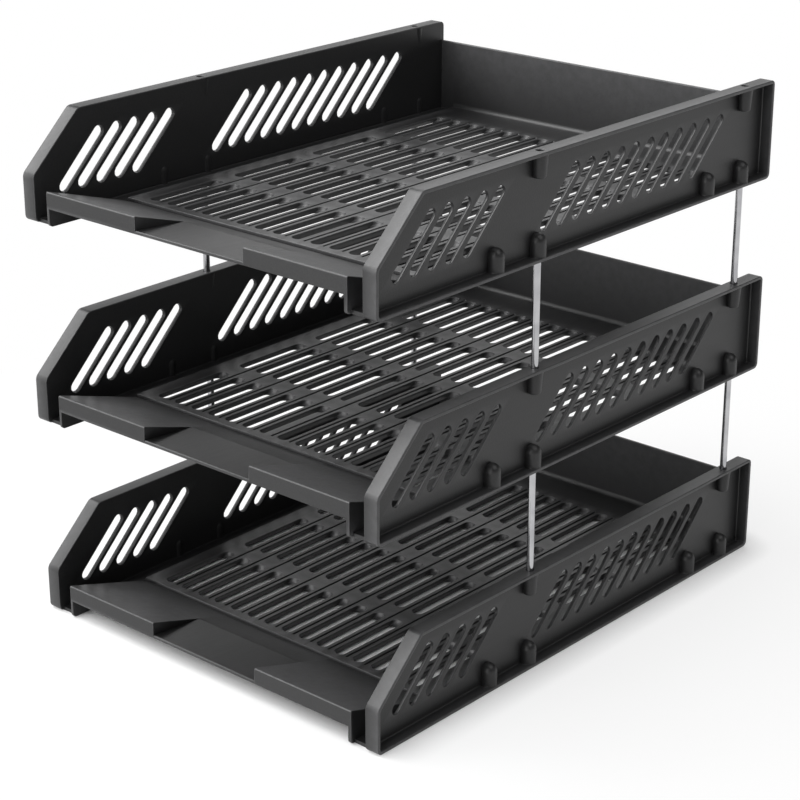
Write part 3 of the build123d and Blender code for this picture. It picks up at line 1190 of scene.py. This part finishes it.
@dataclass(frozen=True)
class SatinPlastic:
    """Black injection-moulded plastic with a fine satin grain, and lighter edges that are partly wear
    and partly a painted highlight.
    """

    name: str = "satin_black_plastic"
    deep: Colour = (0.011, 0.011, 0.0114)
    pale: Colour = (0.019, 0.019, 0.0195)
    # Colour of the lightened edges: partly wear, partly a painted highlight.
    worn_and_highlit: Colour = (0.070, 0.070, 0.072)
    worn_and_highlit_share: Span = (0.45, 0.75)
    rough: Span = (0.39, 0.44)
    streak_rough: Span = (-0.015, 0.015)
    refraction: float = 1.46
    cloud_scale: float = 14.0
    cloud_share: float = 0.1
    grain_scale: float = 900.0
    grain_share: float = 0.9
    patch_scale: float = 210.0
    streak_scale: Triple = (420.0, 16.0, 420.0)
    streak_share: float = 0.2
    relief_strength: float = 0.6
    relief_height: float = 0.00009

    def material(self) -> bpy.types.Material:
        """Build the material: cloudy tone, moulded grain, flow streaks, and edges lightened partly as
        wear and partly as a painted highlight.

        Returns:
            The material.
        """
        material = bpy.data.materials.new(self.name)
        nodes = Nodes(material)
        place = nodes.place()
        cloud = nodes.noise(place, self.cloud_scale, detail=2.0)
        grain = nodes.noise(place, self.grain_scale, detail=2.0, rough=0.7)
        patch = nodes.noise(place, self.patch_scale, detail=3.0, rough=0.6)
        streak = nodes.noise(nodes.stretched(place, self.streak_scale), 1.0, detail=2.0)
        soft = nodes.work("MULTIPLY", cloud, self.cloud_share)
        mottle = nodes.work("ADD", soft, nodes.work("MULTIPLY", grain, self.grain_share))
        tone = nodes.blend(nodes.spread(mottle, NOISE_SPAN, (0.0, 1.0)), self.deep, self.pale)
        # Mask of the lightened edges: partly wear, partly a painted highlight.
        rub_and_highlight = nodes.add("ShaderNodeAttribute", attribute_name="wear_and_highlight").outputs["Fac"]
        share = nodes.work("MULTIPLY", rub_and_highlight, nodes.spread(patch, NOISE_SPAN, self.worn_and_highlit_share))
        rough = nodes.spread(mottle, NOISE_SPAN, self.rough)
        fine = nodes.spread(streak, NOISE_SPAN, self.streak_rough)
        height = nodes.work("ADD", grain, nodes.work("MULTIPLY", streak, self.streak_share))
        inputs = {
            "Base Color": nodes.blend(share, tone, self.worn_and_highlit),
            "Roughness": nodes.work("ADD", rough, fine),
            "IOR": self.refraction,
            "Normal": nodes.relief(height, self.relief_strength, self.relief_height),
        }
        nodes.show(nodes.add("ShaderNodeBsdfPrincipled", inputs).outputs["BSDF"])
        return material


@dataclass(frozen=True)
class PolishedSteel:
    """Bright drawn steel with faint lines along the rod."""

    name: str = "polished_rod_steel"
    bright: Colour = (0.50, 0.50, 0.51)
    dull: Colour = (0.40, 0.40, 0.415)
    rough: Span = (0.05, 0.13)
    line_scale: Triple = (2600.0, 2600.0, 22.0)
    cloud_scale: float = 90.0
    cloud_span: Span = (0.35, 0.65)
    relief_strength: float = 0.10
    relief_height: float = 0.00002

    def material(self) -> bpy.types.Material:
        """Build the material: drawn lines along Z in its roughness and relief, and a cloudy tone.

        Returns:
            The material.
        """
        material = bpy.data.materials.new(self.name)
        nodes = Nodes(material)
        place = nodes.place()
        lines = nodes.noise(nodes.stretched(place, self.line_scale), 1.0, detail=3.0, rough=0.6)
        cloud = nodes.noise(place, self.cloud_scale, detail=2.0)
        share = nodes.spread(cloud, self.cloud_span, (0.0, 1.0))
        inputs = {
            "Base Color": nodes.blend(share, self.bright, self.dull),
            "Metallic": 1.0,
            "Roughness": nodes.spread(lines, NOISE_SPAN, self.rough),
            "Normal": nodes.relief(lines, self.relief_strength, self.relief_height),
        }
        nodes.show(nodes.add("ShaderNodeBsdfPrincipled", inputs).outputs["BSDF"])
        return material


@dataclass(frozen=True)
class PaleFloor:
    """A white studio floor that keeps the object's soft shadow.

    The share of plain white grows with the distance from the object's footprint: none below
    it, most of it close to its edge and all of it further off. Lengths are in metres.
    """

    name: str = "pale_floor"
    colour: Colour = (0.86, 0.86, 0.86)
    footprint: Triple = (0.120, 0.162, 1.0)
    edge_reach: float = 0.03
    edge_share: float = 0.78
    far_reach: float = 0.34
    far_share: float = 1.0

    def material(self) -> bpy.types.Material:
        """Build the material: matt white, mostly plain white to the camera and to reflections.

        Returns:
            The material.
        """
        material = bpy.data.materials.new(self.name)
        nodes = Nodes(material)
        matt = nodes.add("ShaderNodeBsdfDiffuse", {"Color": self.colour})
        white = nodes.add("ShaderNodeEmission", {"Color": WHITE, "Strength": 1.0})
        beyond = nodes.beyond_box(nodes.place(), self.footprint)
        near = nodes.spread(beyond, (0.0, self.edge_reach), (0.0, self.edge_share))
        rest = (0.0, self.far_share - self.edge_share)
        far = nodes.spread(beyond, (self.edge_reach, self.far_reach), rest)
        share = nodes.work("MULTIPLY", nodes.seen_directly(), nodes.work("ADD", near, far))
        inputs = {"Fac": share, 1: matt.outputs["BSDF"], 2: white.outputs["Emission"]}
        nodes.show(nodes.add("ShaderNodeMixShader", inputs).outputs["Shader"])
        return material


@dataclass
class TrayMoulding:
    """One tray as a single moulding."""

    finish: bpy.types.Material
    pitch: float = 118.5
    smooth_angle: float = 38.0
    sizes: TraySizes = field(default_factory=TraySizes)

    def skin(self) -> Skin:
        """Work out the tray's patches, standing on the ground.

        Returns:
            The patches: those of the right-hand side, mirrored, and those of the middle.
        """
        skin = Skin()
        floor, ramp = FloorPanel(self.sizes, skin), FrontRamp(self.sizes, skin)
        ChannelSide(self.sizes, skin).add()
        floor.add_gutters()
        ramp.add_lip()
        ramp.add_skirt()
        ramp.add_underside()
        skin.mirror()
        floor.add_slots()
        floor.add_grooves()
        floor.add_front_edge()
        ramp.add_middle()
        BackWall(self.sizes, skin).add(floor)
        return skin

    def place(self, skin: Skin, tier: Tier) -> bpy.types.Object:
        """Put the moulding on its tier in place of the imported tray.

        Args:
            skin: The tray's patches.
            tier: Which of the trays it is.

        Returns:
            The finished piece.
        """
        lift = tier.value * self.pitch
        piece = skin.piece(f"{tier.node}_moulding", (0.0, 0.0, lift), self.smooth_angle)
        piece.data.materials.append(self.finish)
        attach(piece, tier.body)
        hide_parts(tier.node)
        return piece


@dataclass
class RiserRod:
    """A polished rod with chamfered ends, standing in a socket of the tray below."""

    finish: bpy.types.Material
    radius: float = 2.0
    chamfer: float = 0.4
    edge: float = 0.3
    segments: int = 32
    smooth_angle: float = 40.0

    def place(self, node: str, body: str) -> bpy.types.Object:
        """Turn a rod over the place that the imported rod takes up.

        Args:
            node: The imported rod.
            body: The body that it moves with.

        Returns:
            The finished piece.
        """
        low, high = (np.array(corner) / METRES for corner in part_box(node))
        middle = (low + high) / 2
        bottom, top = low[2], high[2]
        corners = [
            (AXIS, bottom, 0),
            (self.radius - self.chamfer, bottom, 0),
            (self.radius, bottom + self.chamfer, self.edge),
            (self.radius, top - self.chamfer, self.edge),
            (self.radius - self.chamfer, top, 0),
            (AXIS, top, 0),
        ]
        profile, _ = rounded(corners)
        skin = Skin()
        skin.add(turned(profile, self.segments), DOWN, ring=True)
        piece = skin.piece(f"{node}_steel", (middle[0], middle[1], 0.0), self.smooth_angle)
        piece.data.materials.append(self.finish)
        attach(piece, body)
        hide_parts(node)
        return piece


def direction(azimuth: float, elevation: float) -> Vector:
    """Unit vector from the object, with azimuth 0 to the front and 90 to the right.

    Args:
        azimuth: Turn round Z, in degrees.
        elevation: Rise above level, in degrees.

    Returns:
        The vector.
    """
    turn, rise = math.radians(azimuth), math.radians(elevation)
    level = math.cos(rise)
    return Vector((math.sin(turn) * level, -math.cos(turn) * level, math.sin(rise)))


def aim(item: bpy.types.Object, target: Vector, way: Vector, distance: float) -> None:
    """Put a lamp or camera into the scene, facing a target.

    Args:
        item: The lamp or camera.
        target: What it looks at.
        way: Direction from the target to it.
        distance: How far from the target it stands, in metres.
    """
    item.location = target + way * distance
    item.rotation_euler = (-way).to_track_quat("-Z", "Y").to_euler()
    bpy.context.scene.collection.objects.link(item)


@dataclass(frozen=True)
class SoftLamp:
    """A square lamp placed by its angles in degrees, its distance and size in metres."""

    name: str
    azimuth: float
    elevation: float
    distance: float
    size: float
    power: float

    def place(self, target: Vector) -> None:
        """Add the lamp to the scene.

        Args:
            target: What it shines at.
        """
        light = bpy.data.lights.new(self.name, "AREA")
        light.energy, light.size = self.power, self.size
        lamp = bpy.data.objects.new(self.name, light)
        aim(lamp, target, direction(self.azimuth, self.elevation), self.distance)


@dataclass
class Studio:
    """The pale floor, the soft light and the camera.

    Lengths are in metres, apart from the sensor's width in millimetres, and angles in degrees.
    """

    floor_radius: float = 9.0
    floor_middle: float = 0.001
    floor_segments: int = 96
    clearance: float = 0.0002
    surround: float = 0.04
    white_below: float = 4.0
    dim_above: float = 10.0
    lit: Triple = (0.0, 0.0, 0.15)
    target: Triple = (-0.0070, 0.0, 0.1122)
    azimuth: float = 41.47
    elevation: float = 21.35
    distance: float = 1.298
    sensor: float = 36.0
    focal_share: float = 2197.0 / 800.0
    lamps: tuple[SoftLamp, ...] = (
        SoftLamp("front_left_softbox", -36.0, 32.0, 2.2, 2.0, 31.0),
        SoftLamp("front_low_softbox", 0.0, 21.0, 2.2, 2.0, 34.0),
        SoftLamp("upper_left_softbox", -66.0, 50.0, 2.2, 1.3, 37.0),
        SoftLamp("overhead_softbox", -10.0, 80.0, 2.0, 1.2, 7.0),
        SoftLamp("rear_softbox", 215.0, 38.0, 2.3, 1.6, 15.0),
        SoftLamp("right_softbox", 102.0, 54.0, 2.2, 1.5, 14.0),
    )

    def add_floor(self) -> None:
        """Add the floor: a line from the middle outwards, turned round Z."""
        line = joined(np.array([self.floor_middle, self.floor_radius]), -self.clearance)
        grid = turned(line, self.floor_segments)
        mesh = bpy.data.meshes.new("studio_floor")
        quads = lattice(2, self.floor_segments, True)
        mesh.from_pydata(grid.reshape(-1, 3).tolist(), [], quads[:, ::-1].tolist())
        mesh.materials.append(PaleFloor().material())
        floor = bpy.data.objects.new("studio_floor", mesh)
        bpy.context.scene.collection.objects.link(floor)

    def add_world(self) -> None:
        """Fill the scene with an even, dim light, and carry the white of the floor above its edge.

        The share of white falls evenly with the height of the direction that is looked in.
        """
        world = bpy.data.worlds.new("soft_studio")
        bpy.context.scene.world = world
        nodes = Nodes(world)
        way = nodes.add("ShaderNodeTexCoord").outputs["Generated"]
        parts = nodes.add("ShaderNodeSeparateXYZ", {"Vector": way})
        heights = (math.sin(math.radians(self.white_below)), math.sin(math.radians(self.dim_above)))
        low = nodes.spread(parts.outputs["Z"], heights, (1.0 - self.surround, 0.0))
        white = nodes.work("MULTIPLY", nodes.seen_directly(), low)
        inputs = {"Color": WHITE, "Strength": nodes.work("ADD", white, self.surround)}
        nodes.show(nodes.add("ShaderNodeBackground", inputs).outputs["Background"])

    def add_camera(self) -> None:
        """Add the camera at the photograph's viewing angle."""
        data = bpy.data.cameras.new("photo_camera")
        data.sensor_width = self.sensor
        data.lens = self.sensor * self.focal_share
        camera = bpy.data.objects.new("photo_camera", data)
        aim(camera, Vector(self.target), direction(self.azimuth, self.elevation), self.distance)
        bpy.context.scene.camera = camera

    def build(self) -> None:
        """Set up the floor, the light and the camera."""
        bpy.context.scene.view_settings.view_transform = "Standard"
        self.add_floor()
        self.add_world()
        for lamp in self.lamps:
            lamp.place(Vector(self.lit))
        self.add_camera()


def main() -> None:
    """Build the trays, the rods and the studio."""
    logging.basicConfig(level=logging.INFO)
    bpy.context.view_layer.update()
    moulding = TrayMoulding(SatinPlastic().material())
    skin = moulding.skin()
    pieces = [moulding.place(skin, tier) for tier in Tier]
    rods = RiserRod(PolishedSteel().material())
    for gap in Gap:
        for place in RodPlace:
            node = f"{gap.name.lower()}_rod_{place.value}"
            pieces.append(rods.place(node, gap.value.body))
    for piece in pieces:
        LOG.info("%s: %d faces", piece.name, len(piece.data.polygons))
    Studio().build()


if __name__ == "__main__":
    main()
